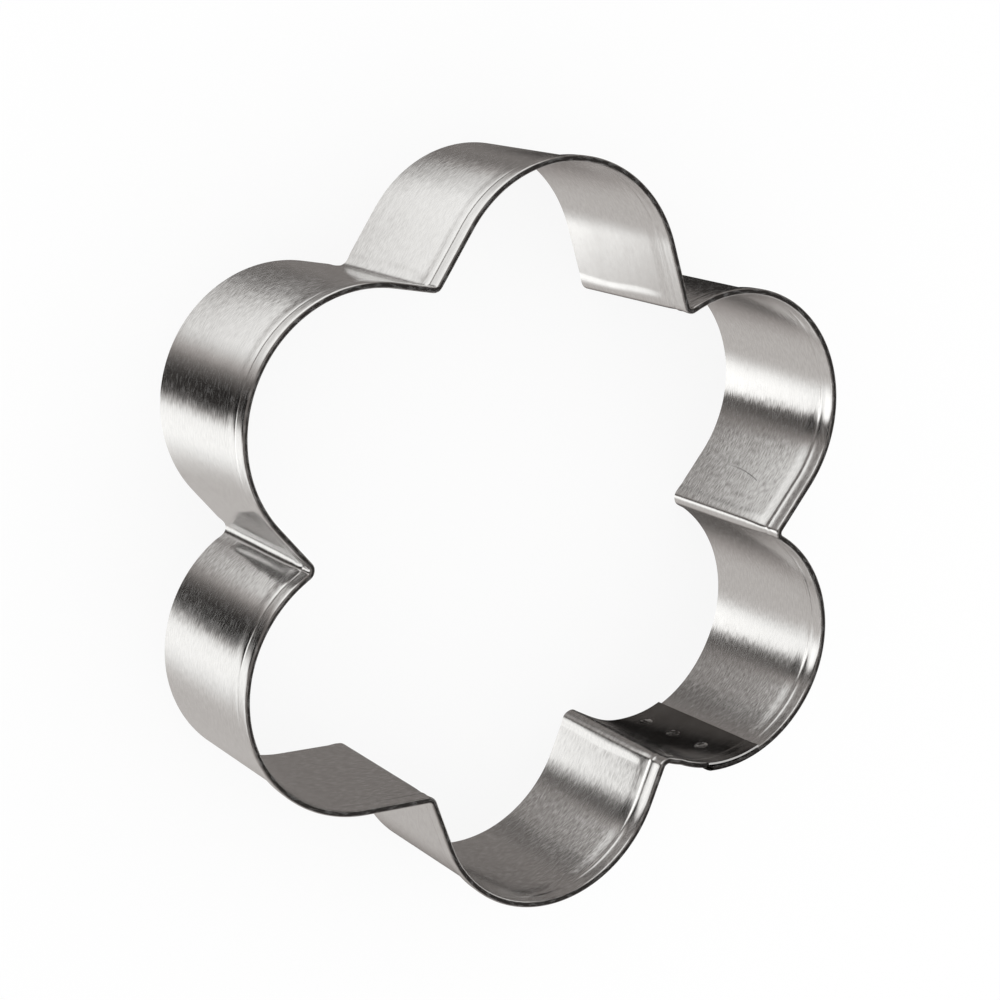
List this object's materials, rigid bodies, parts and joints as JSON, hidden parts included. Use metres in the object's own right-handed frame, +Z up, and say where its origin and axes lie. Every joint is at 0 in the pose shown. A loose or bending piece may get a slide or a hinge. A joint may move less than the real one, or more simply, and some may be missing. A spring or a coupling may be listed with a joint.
{
  "type": "cookie cutter",
  "caption": "Flower cookie cutter: a thin tinned steel strip on edge, bent into rounded petals, with a folded rim and a lapped, spot-welded joint.",
  "frame": {"origin": "middle of the flower, on the plane of the cutting edge", "axes": "+Z up from the cutting edge to the folded rim, +Y through the middle of one petal, +X to the right seen from the rim side"},
  "size_m": [0.0973, 0.1044, 0.0254],
  "materials": {
    "tinplate": "bright tinned sheet steel with fine lengthwise streaks",
    "weld": "dull, slightly darkened weld spot"
  },
  "bodies": {
    "root": {"band": "tinplate", "spot_weld_low": "weld", "spot_weld_middle": "weld", "spot_weld_high": "weld"}
  },
  "joints": []
}
